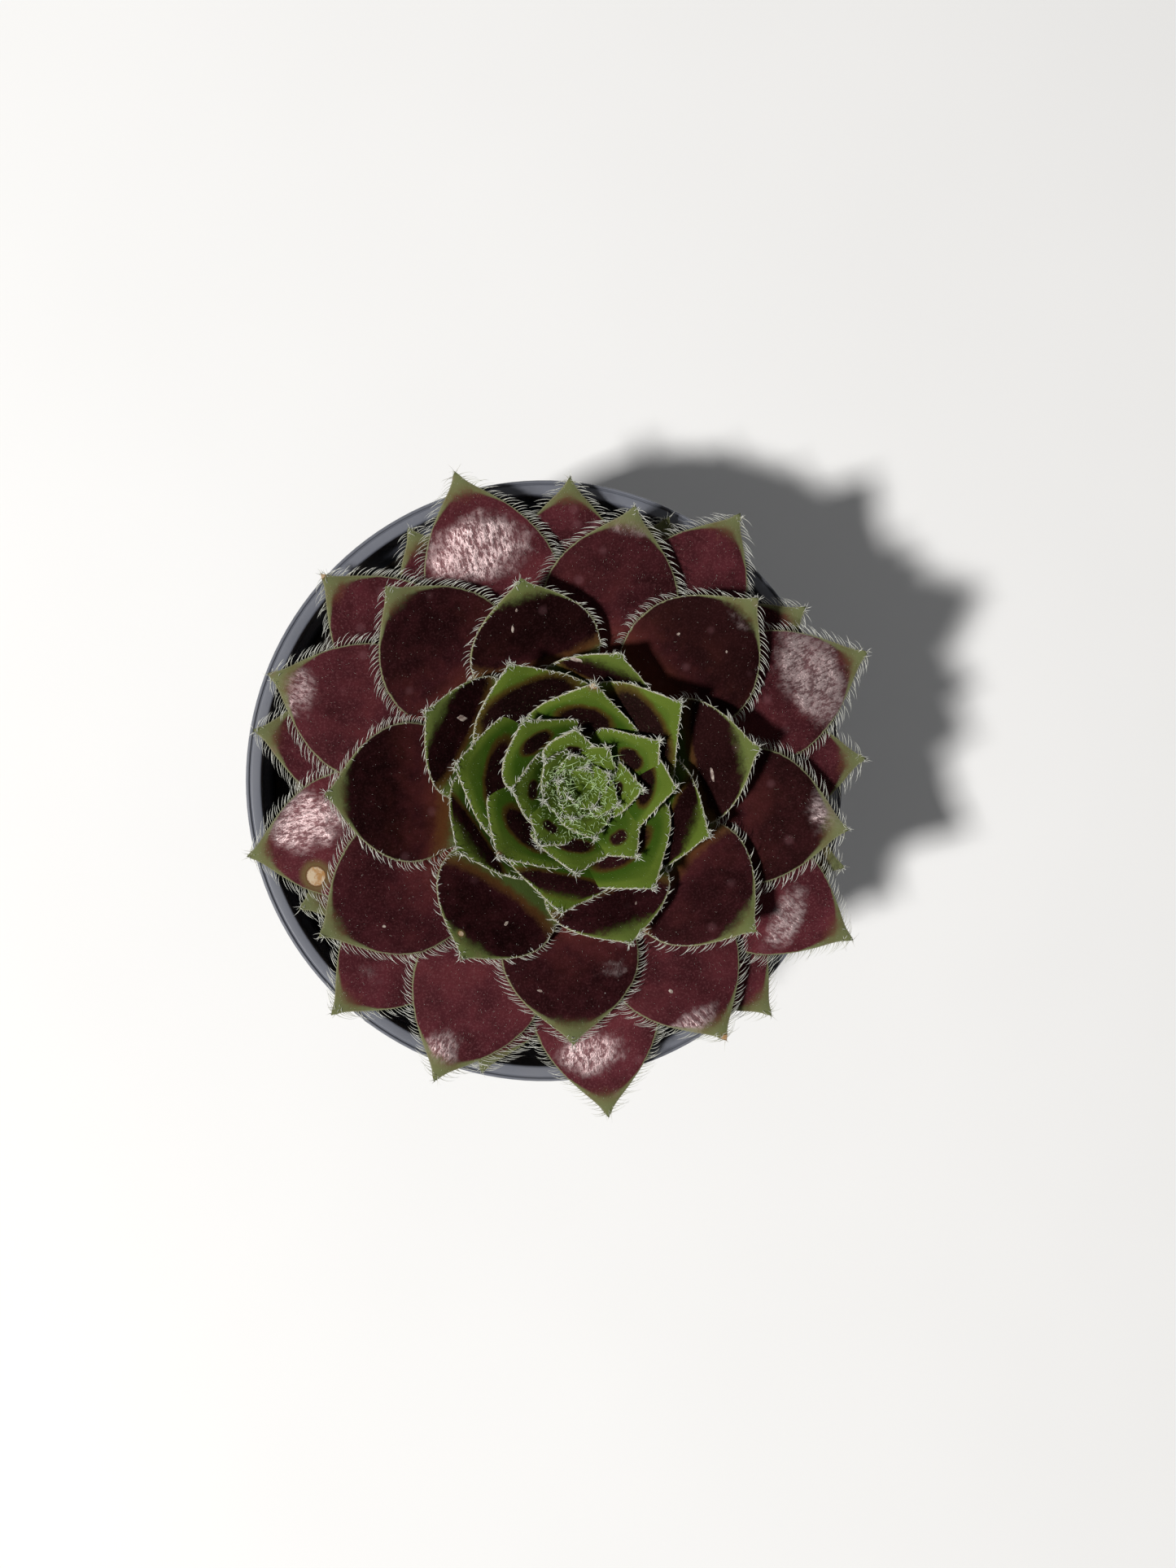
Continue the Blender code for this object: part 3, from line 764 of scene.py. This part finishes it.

# %% [markdown]
# ### Leaf finish
# The skin has four layers. Under all lies green, fresh in the heart and olive along the margins of
# the grown leaves; it turns paler towards the point, the margin and the youngest leaves, partly its
# own colour and partly painted light, and stays deeper green away from them as painted shade in the
# hollows. Over it lies the dark pigment: nearly black on the young leaves, wine red on the old ones
# and towards each root, and missing from the margin and the point. Then come marks, such as faint
# spots where drops have dried and small white specks. On top is a silky down of hairs too fine to see
# one by one. They lie along the leaf and glitter where they face the light, so the finish has a very
# fine relief, drawn out along the leaf, and a fine speckle of paler pink that is painted glitter.
# Where a table puts a sheen patch, the roughness drops, the skin turns a little metallic, and its
# colour is painted pale pink with streaky glints: a painted sheen.


# %% Leaf finish
def leaf_finish(name, gloss, tint):
    finish = Finish(name, Roughness=0.5, Specular_IOR_Level=gloss)
    finish.shader.inputs["Specular Tint"].default_value = (*tint, 1.0)
    root_to_tip = finish.attribute("along_leaf")
    margin = finish.attribute("from_margin")
    tip = finish.attribute("from_tip")
    patch = finish.attribute("patch")
    sheen_patch = finish.attribute("sheen_patch")
    scar_down, scar_aside = finish.attribute("scar_down"), finish.attribute("scar_aside")
    age = finish.attribute("age")
    seed = finish.attribute("seed")
    upper = finish.attribute("upper")
    own = {"X": finish.attribute("sideways") * MM, "Y": tip * MM, "Z": seed * 0.7}
    own = finish.node("ShaderNodeCombineXYZ", {}, own)
    cloud = finish.noise(6.0, 3.0, 0.6)
    mottle = finish.noise(1.4, 4.0, 0.65)
    fine = finish.noise(0.30, 3.0, 0.7)
    silk = finish.noise(0.20, 2.0, 0.7, stretch=(1.0, 0.36, 1.0), where=own)
    ragged = (mottle - 0.5) * 1.6 + (fine - 0.5) * 0.9

    grown = age.step(0.40, 0.62)
    near_tip = tip.step(7.2, 1.2)
    # paler green towards the point, the margin and the youngest leaves: partly the leaf's own colour, partly painted
    # light, with the deeper green away from them painted shade in the hollows
    light = (tip.step(7.0, 1.0) + margin.step(2.6, 0.3) + age.step(0.30, 0.05) * 0.8).at_most(1.0) * 0.75 + mottle * 0.25
    fresh = finish.blend(light, (0.022, 0.058, 0.004), (0.092, 0.135, 0.018))
    olive = finish.blend(light, (0.058, 0.072, 0.023), (0.128, 0.142, 0.064))
    green = finish.blend(grown, fresh, olive)

    dark = finish.blend(cloud.step(0.3, 0.7), (0.0034, 0.0010, 0.0010), (0.0088, 0.0024, 0.0026))
    wine = finish.blend(cloud.step(0.3, 0.7), (0.042, 0.0090, 0.0120), (0.092, 0.0190, 0.0260))
    rooty = root_to_tip.step(0.74, 0.42) * age.step(0.40, 0.52)
    outer = age.step(0.555, 0.74) * 0.74 + (seed - 0.5) * 0.34
    pigment = finish.blend((rooty * 0.55 + outer + (mottle - 0.5) * 0.5).at_most(1.0).at_least(0.0), dark, wine)
    amber = root_to_tip.step(0.60, 0.40) * age.step(0.50, 0.56) * age.step(0.80, 0.68)
    pigment = finish.blend(amber * (0.30 + mottle * 0.6), pigment, (0.130, 0.036, 0.012))
    rusty = cloud.step(0.42, 0.66) * root_to_tip.step(0.86, 0.55) * age.step(0.48, 0.58)
    pigment = finish.blend(rusty * 0.18, pigment, (0.080, 0.019, 0.009))
    # painted glitter: a fine speckle of paler pink stands for the tiny highlights of the down
    grain = fine.step(0.48, 0.68)
    pigment = finish.blend(grain * (0.07 + outer.at_least(0.0) * 0.40), pigment, (0.160, 0.060, 0.066))

    border = ((margin + ragged * 0.34) / (near_tip * (0.9 + age.step(0.52, 0.62)) + 0.20)).step(0.35, 1.30)
    point = (tip + ragged * 1.7).step(1.9, 4.5)
    soaked = (patch + ragged * 0.15).step(1.18, 0.76)
    covered = border * point * soaked
    body = finish.blend(covered, green, pigment)
    turning = soaked * (1 - soaked) * 4.0 * age.step(0.10, 0.34) * tip.step(1.5, 4.5)
    body = finish.blend(turning * (0.38 + grown * 0.36), body, (0.085, 0.022, 0.007))
    edge = (margin + (fine - 0.5) * 0.25).step(0.26, 0.08) * tip.step(0.4, 1.2) * (0.75 - grown * 0.55) * age.step(0.08, 0.24)
    body = finish.blend(edge, body, (0.40, 0.37, 0.27))
    beneath = finish.blend(cloud, (0.075, 0.055, 0.024), (0.100, 0.028, 0.022))
    body = finish.blend(upper.step(0.0, -0.25) * 0.6 * grown, body, beneath)

    drops, pick = finish.cells(3.1)
    wet = pick.step(0.70, 0.74) * grown
    body = finish.blend((drops + ragged * 0.05).step(0.32, 0.10) * wet * 0.16, body, (0.23, 0.105, 0.120))
    specks, chosen = finish.cells(1.5)
    speck = specks.step(0.075, 0.030) * chosen.step(0.88, 0.92) * mottle.step(0.40, 0.55)
    body = finish.blend(speck * 0.7, body, (0.50, 0.45, 0.43))
    torn = finish.noise(2.8, 4.0, 0.65, where=own)
    # where the painted sheen lies, broken up by noise; it also lowers the roughness and adds metallic
    sheen_and_gloss = (sheen_patch + (torn - 0.5) * 1.0).step(0.18, 0.80) * sheen_patch.step(0.05, 0.30)
    sheen_and_gloss = sheen_and_gloss * (covered * 0.7 + 0.3) * (0.50 + torn * 0.55)
    creases = finish.noise(0.62, 3.0, 0.65, stretch=(1.0, 0.42, 1.0), where=own)
    glint = (silk * 0.4 + creases * 0.6).step(0.42, 0.56)
    # painted sheen: pale pink colour with streaky glints, where the down would catch the lamp
    body = finish.blend(sheen_and_gloss * (0.16 + glint * 0.60), body, (0.420, 0.335, 0.335))

    scabby = (scar_down * scar_down + scar_aside * scar_aside).maths("SQRT") + ragged * 0.26
    body = finish.blend(scabby.step(1.9, 1.1) * 0.6, body, (0.120, 0.105, 0.034))
    body = finish.blend(scabby.step(1.12, 1.00) * 0.8, body, (0.085, 0.040, 0.016))
    crust = finish.blend(mottle.step(0.38, 0.58), (0.300, 0.165, 0.065), (0.430, 0.345, 0.235))
    body = finish.blend(scabby.step(0.98, 0.84), body, crust)
    rough = 0.62 - sheen_and_gloss * 0.28 + (mottle - 0.5) * 0.16
    finish.wear(Base_Color=body, Metallic=sheen_and_gloss * (0.15 + glint * 0.40), Roughness=rough)
    swell = finish.noise(2.6, 2.0, 0.5, where=own)
    finish.relief(silk * 0.040 + creases * sheen_and_gloss * 0.16 + fine * 0.020 + swell * 0.10, 1.0)
    return finish.material


dark_skin = leaf_finish("mahogany_skin", 0.08, (1.0, 0.30, 0.30))
heart_skin = leaf_finish("heart_skin", 0.07, (1.0, 0.62, 0.45))
by_number = {leaf.number: leaf for leaf in leaves}
WHORLS = ((0, 5), (6, 11), (12, 17), (18, 24), (25, 31), (32, 38))
for count, (first, last) in enumerate(WHORLS, 1):
    group = [by_number[n] for n in range(first, last + 1)]
    name = "dark_leaves_%d" % count
    make_piece(name, leaf_skins(name, group), "rosette", dark_skin)
for count, (first, last) in enumerate(((-9, -1), (YOUNGEST, -10)), 1):
    group = [by_number[n] for n in range(first, last + 1)]
    name = "heart_leaves_%d" % count
    make_piece(name, leaf_skins(name, group), "heart", heart_skin)
print("leaf pieces:", len(WHORLS) + 2)

# %% [markdown]
# ## Flecks
# A few pale flakes of dried skin lie on the inner dark leaves. Each is a small flat grain, sunk a
# little into the leaf where the table puts it.

# %% Flecks
# leaf, then below the tip, aside, length along the leaf, width across it
FLECKS = (
    (2, 4.0, 5.2, 0.9, 1.7), (4, 6.9, -1.6, 1.6, 0.8), (7, 4.8, 1.5, 0.5, 0.3), (7, 7.6, 2.6, 1.0, 0.4),
    (10, 12.2, 4.4, 0.6, 0.4), (10, 9.0, -2.4, 0.4, 0.3), (6, 9.2, 2.9, 0.9, 0.4), (5, 8.2, -2.4, 0.5, 2.0),
    (14, 9.0, 3.6, 0.5, 0.4), (16, 10.5, -3.0, 0.7, 0.5), (11, 8.0, -4.6, 0.4, 0.7), (3, 6.4, 3.0, 0.5, 0.3),
)


def fleck_mesh(name, flecks):
    bm = bmesh.new()
    for number, below, aside, high, broad in flecks:
        leaf = by_number[number]
        t = 1.0 - below / leaf.length
        angle = math.acos(clamp(aside / leaf.half_width(t), -0.9, 0.9))
        forward, around, out = leaf.ways(t, angle)
        place = Matrix((forward * high / 2 * MM, around * broad / 2 * MM, out * 0.09 * MM)).transposed().to_4x4()
        place.translation = leaf.point(t, angle)
        made = bmesh.ops.create_icosphere(bm, subdivisions=2, radius=1.0)["verts"]
        for vert in made:
            vert.co *= 1.0 + 0.5 * noise.noise(vert.co * 1.4 + Vector((number, below, aside)))
        bmesh.ops.transform(bm, matrix=place, verts=made)
    bmesh.ops.recalc_face_normals(bm, faces=bm.faces)
    mesh = bpy.data.meshes.new(name)
    bm.to_mesh(mesh)
    bm.free()
    return mesh


def fleck_finish():
    finish = Finish("dried_skin", Roughness=0.75)
    tone = finish.noise(0.6, 3.0, 0.6).step(0.35, 0.65)
    finish.wear(Base_Color=finish.blend(tone, (0.17, 0.115, 0.10), (0.42, 0.36, 0.31)))
    return finish.material


flecks = make_piece("pale_flecks", fleck_mesh("pale_flecks", FLECKS), "rosette", fleck_finish())
print("flecks:", len(FLECKS))

# %% [markdown]
# ## Stem and growing point
# The leaves are set on a short thick stem, whose foot stands in the soil. Hardly any of it can be
# seen, but without it the rosette would hang in the air when someone looks under the leaves. In the
# heart, a small dome closes the gap between the youngest leaves.


# %% Stem
def core_mesh(name, profile, steps=48):
    mesh = plain_mesh(turned_object(name, fillet(profile, 0.5), steps), name)
    for vert in mesh.vertices:
        vert.co += AXIS * MM
    mesh.shade_smooth()
    return mesh


def stem_finish():
    finish = Finish("stem_bark", Roughness=0.8)
    scales = finish.noise(1.4, 4.0, 0.65, stretch=(1.0, 1.0, 2.6))
    pith = finish.noise(6.0, 3.0, 0.5)
    bark = finish.blend(scales, (0.050, 0.028, 0.016), (0.170, 0.105, 0.060))
    finish.wear(Base_Color=finish.blend(pith * 0.4, bark, (0.060, 0.070, 0.030)), Roughness=0.65 + scales * 0.3)
    finish.relief(scales, 0.3, 0.8)
    return finish.material


stem_profile = [(0.0, 76.2), (3.4, 76.0), (4.6, 72.0), (5.2, 66.0), (5.0, 61.0), (5.0, 48.0), (4.0, 47.0), (0.0, 47.0)]
make_piece("stem", core_mesh("stem", stem_profile), "rosette", stem_finish())
dome_profile = [(0.0, 86.2), (1.0, 85.4), (2.0, 82.0), (2.6, 79.0), (1.8, 76.9), (0.0, 76.6)]
dome = core_mesh("growing_point", dome_profile)
for field in FIELDS:
    value = {"from_margin": 4.0, "from_tip": 12.0, "patch": 3.0, "upper": 1.0, "scar_down": 99.0}.get(field, 0.0)
    dome.attributes.new(field, "FLOAT", "POINT").data.foreach_set("value", [value] * len(dome.vertices))
make_piece("growing_point", dome, "heart", heart_skin)
print("stem and growing point made")

# %% [markdown]
# ## Hairs
# White hairs, about a millimetre and a half long, fringe every margin. They hook towards the tip, and
# end in a tuft there. Particle hair would not leave this file, so each hair is a thin three-sided
# cone, bent along its length by a small formula. NumPy writes thousands of them into one mesh.


# %% Hair builder
class Hairs:
    """A mesh of bent, tapering, three-sided hairs."""

    def __init__(self, sections):
        self.sections = sections
        self.roots, self.ways, self.bends, self.lengths, self.radii = [], [], [], [], []

    def add(self, root, way, bend, length, radius):
        self.roots.append(root)
        self.ways.append(way)
        self.bends.append(bend)
        self.lengths.append(length)
        self.radii.append(radius)

    def mesh(self, name):
        count, rows = len(self.roots), self.sections
        root = np.array(self.roots)[:, None, :]
        way = np.array(self.ways)[:, None, :]
        bend = np.array(self.bends)[:, None, :]
        length = np.array(self.lengths)[:, None, None] * MM
        radius = np.array(self.radii)[:, None, None] * MM
        s = np.linspace(0.0, 1.0, rows + 1)[None, :, None]
        spine = root + length * (way * (s - 0.18 * s ** 3) + bend * s * s)
        heading = way * (1 - 0.54 * s * s) + bend * 2 * s
        heading /= np.linalg.norm(heading, axis=2, keepdims=True)
        helper = np.cross(way, bend + np.array([0.013, 0.017, 0.011]))
        helper /= np.linalg.norm(helper, axis=2, keepdims=True)
        other = np.cross(heading, helper)
        width = radius * (1.0 - s ** 1.6 * 0.9)
        corners = []
        for k in range(3):
            angle = 2 * math.pi * k / 3
            corners.append(spine + width * (math.cos(angle) * helper + math.sin(angle) * other))
        tube = np.stack([c[:, :rows] for c in corners], axis=2).reshape(count, rows * 3, 3)
        places = np.concatenate([tube, spine[:, rows:]], axis=1)
        per = rows * 3 + 1
        pattern = []
        for j in range(rows - 1):
            for k in range(3):
                a, b = j * 3 + k, j * 3 + (k + 1) % 3
                pattern += [(a, b, b + 3), (a, b + 3, a + 3)]
        top = (rows - 1) * 3
        pattern += [(top + k, top + (k + 1) % 3, rows * 3) for k in range(3)]
        faces = (np.array(pattern)[None] + (np.arange(count) * per)[:, None, None]).reshape(-1, 3)
        mesh = bpy.data.meshes.new(name)
        mesh.vertices.add(count * per)
        mesh.vertices.foreach_set("co", places.astype(np.float32).ravel())
        mesh.loops.add(len(faces) * 3)
        mesh.loops.foreach_set("vertex_index", faces.astype(np.int32).ravel())
        mesh.polygons.add(len(faces))
        mesh.polygons.foreach_set("loop_start", np.arange(0, len(faces) * 3, 3, dtype=np.int32))
        mesh.update(calc_edges=True)
        mesh.validate()
        share = np.concatenate([np.repeat(np.arange(rows) / rows, 3), [1.0]])
        field = mesh.attributes.new("along_hair", "FLOAT", "POINT")
        field.data.foreach_set("value", np.tile(share, count).astype(np.float32))
        mesh.shade_smooth()
        return mesh


def hair_finish(name, green):
    finish = Finish(name, Roughness=0.5, Specular_IOR_Level=0.4)
    up_hair = finish.attribute("along_hair")
    patchy = finish.noise(2.5, 3.0, 0.6)
    root = finish.blend(patchy, (0.22, 0.22 + green * 0.08, 0.13), (0.36, 0.36 + green * 0.10, 0.25))
    white = finish.blend(patchy, (0.56 - green * 0.12, 0.57, 0.50 - green * 0.22), (0.84 - green * 0.20, 0.84, 0.79 - green * 0.32))
    finish.wear(Base_Color=finish.blend(up_hair.step(0.0, 0.45), root, white), Roughness=0.42 + patchy * 0.2)
    return finish.material


print("hair builder ready")

# %% [markdown]
# ### Margin fringe
# Every margin is fringed, but not alike. On a grown leaf the hairs are a millimetre and a half long,
# stand straight out from the margin and hook back towards the root. On a young leaf they are half as
# long and closer together, and lie over the leaf's own face, so that the margin reads as a white cord.
# Every point carries a tuft. Low on the leaf, where its neighbours press on it, there are no hairs.

# %% Margin fringe
white_hair = hair_finish("white_hair", 0.0)
green_hair = hair_finish("green_hair", 1.0)


def fringe(leaf, hairs, draw):
    young = ease(-leaf.number, -14.0, -1.0)
    full = leaf.length * 1.05
    start = mix(0.30, 0.40, young)
    for margin_angle, aside in ((0.0, leaf.beside), (math.pi, -leaf.beside)):
        t = start
        while t < 0.99:
            angle = margin_angle + draw.normal(0.0, 0.07)
            forward, around, out = leaf.ways(t, angle)
            edge_way = (leaf.point(t + 0.01, margin_angle) - leaf.point(t - 0.01, margin_angle)).normalized()
            grown_way = aside * 0.95 + out * 0.30 - edge_way * draw.uniform(-0.25, 0.35)
            grown_bend = -edge_way * draw.uniform(0.5, 1.15) + Vector((0.0, 0.0, draw.uniform(-0.1, 0.4)))
            young_way = -aside * draw.uniform(0.2, 0.8) + out * 0.30 + edge_way * draw.uniform(-0.9, 0.5)
            young_way.z += 0.45
            young_bend = -aside * 0.25 + Vector(draw.normal(0.0, 0.25, 3))
            turned_in = draw.uniform() < young * 0.9
            away, bend = (young_way, young_bend) if turned_in else (grown_way, grown_bend)
            long = draw.uniform(0.55, 1.05) if turned_in else draw.uniform(1.4, 2.4) * mix(1.0, 0.5, young)
            long *= mix(0.7, 1.0, ease(t, start, start + 0.2))
            away = away.normalized() + Vector(draw.normal(0.0, 0.12, 3))
            root = leaf.point(t, angle) - out * 0.04 * MM
            hairs.add(root, away.normalized(), bend * 0.6, long, draw.uniform(0.046, 0.062) * mix(1.0, 1.10, young))
            t += mix(0.36, 0.15, young) / full * draw.uniform(0.5, 1.5)
    forward, around, out = leaf.ways(0.985, math.pi / 2)
    for _ in range(int(mix(14, 24, young))):
        spray = forward * 0.6 + Vector((0.0, 0.0, 0.35)) + Vector(draw.normal(0.0, 0.6, 3))
        root = leaf.point(draw.uniform(0.96, 1.0), draw.uniform(0, 2 * math.pi))
        bend = Vector(draw.normal(0.0, 0.3, 3))
        hairs.add(root, spray.normalized(), bend, draw.uniform(0.7, 1.3), draw.uniform(0.044, 0.060))


draw = np.random.default_rng(20)
FRINGES = (("fringe_outer", 16, OLDEST, "rosette"), ("fringe_inner", 0, 15, "rosette"), ("fringe_heart", YOUNGEST, -1, "heart"))
for name, first, last, node in FRINGES:
    hairs = Hairs(4)
    for number in range(first, last + 1):
        fringe(by_number[number], hairs, draw)
    made = make_piece(name, hairs.mesh(name), node, white_hair)
    print(name, len(hairs.roots), "hairs,", len(made.data.polygons), "triangles")

# %% [markdown]
# ### Down
# The faces of the leaves carry a much shorter down. Most of it is left to the finish, but towards the
# point and the margin real hairs, a third of a millimetre long, soften the leaf. On the youngest
# leaves they are longer and curly, and turn the middle of the heart woolly.


# %% Down
def down(leaf, hairs, draw, per_mm2):
    area = leaf.length * leaf.width * 0.62
    woolly = ease(-leaf.number, 9.0, 20.0)
    for _ in range(int(area * per_mm2 * mix(1.0, 1.7, woolly))):
        t = 1.0 - mix(0.5, 0.62, woolly) * draw.uniform() ** mix(1.7, 0.8, woolly)
        if draw.uniform() > leaf.half_width(t) / (0.5 * leaf.width):
            continue
        angle = math.acos(draw.uniform(-1.0, 1.0))
        if draw.uniform() < 0.15:
            angle = -angle
        forward, around, out = leaf.ways(t, angle)
        way = out + forward * draw.uniform(0.2, 1.2) + Vector(draw.normal(0.0, mix(0.30, 0.60, woolly), 3))
        bend = forward * 0.3 + Vector(draw.normal(0.0, mix(0.15, 0.7, woolly), 3))
        long = mix(draw.uniform(0.18, 0.34), draw.uniform(0.60, 1.25), woolly)
        radius = mix(draw.uniform(0.010, 0.015), draw.uniform(0.054, 0.072), woolly)
        hairs.add(leaf.point(t, angle), way.normalized(), bend, long, radius)


draw = np.random.default_rng(21)
DOWNS = (("down_outer", 14, OLDEST, "rosette", 0.9), ("down_inner", 0, 13, "rosette", 0.5), ("down_heart", YOUNGEST, -1, "heart", 1.4))
for name, first, last, node, thick in DOWNS:
    hairs = Hairs(3 if node == "heart" else 1)
    for number in range(first, last + 1):
        down(by_number[number], hairs, draw, thick)
    made = make_piece(name, hairs.mesh(name), node, green_hair if node == "heart" else white_hair)
    print(name, len(hairs.roots), "hairs,", len(made.data.polygons), "triangles")

# %% [markdown]
# ## Floor and light
# The pot stands on a plain pale floor. The photo's light is hard and comes from the left, so the
# studio has one fairly small lamp there for clear shadows and sparkle, a big soft one
# opposite, and a pale world that keeps the shadows open.


# %% Floor and light
def make_floor():
    bm = bmesh.new()
    bmesh.ops.create_grid(bm, x_segments=1, y_segments=1, size=3.0)
    mesh = bpy.data.meshes.new("floor")
    bm.to_mesh(mesh)
    bm.free()
    floor = add_object("floor", mesh)
    finish = Finish("pale_floor", Roughness=0.9)
    tone = finish.noise(60.0, 2.0, 0.5)
    finish.wear(Base_Color=finish.blend(tone, (0.86, 0.86, 0.86), (0.90, 0.90, 0.90)))
    mesh.materials.append(finish.material)
    return floor


def area_light(name, place, size, power, colour=(1.0, 1.0, 1.0)):
    data = bpy.data.lights.new(name, "AREA")
    data.size = size
    data.energy = power
    data.color = colour
    lamp = add_object(name, data)
    lamp.location = place
    lamp.rotation_euler = (Vector((0.0, 0.0, 0.07)) - Vector(place)).to_track_quat("-Z", "Y").to_euler()
    return lamp


make_floor()
area_light("key", (-0.60, -0.23, 1.18), 0.10, 19.0, (1.0, 0.985, 0.96))
area_light("fill", (0.9, 0.7, 1.0), 1.2, 0.7, (0.92, 0.95, 1.0))
world = bpy.data.worlds.new("studio")
world.use_nodes = True
world.node_tree.nodes["Background"].inputs["Color"].default_value = (1.0, 1.0, 1.0, 1.0)
world.node_tree.nodes["Background"].inputs["Strength"].default_value = 0.13
bpy.context.scene.world = world
bpy.context.scene.view_settings.view_transform = "Standard"
print("lights set")
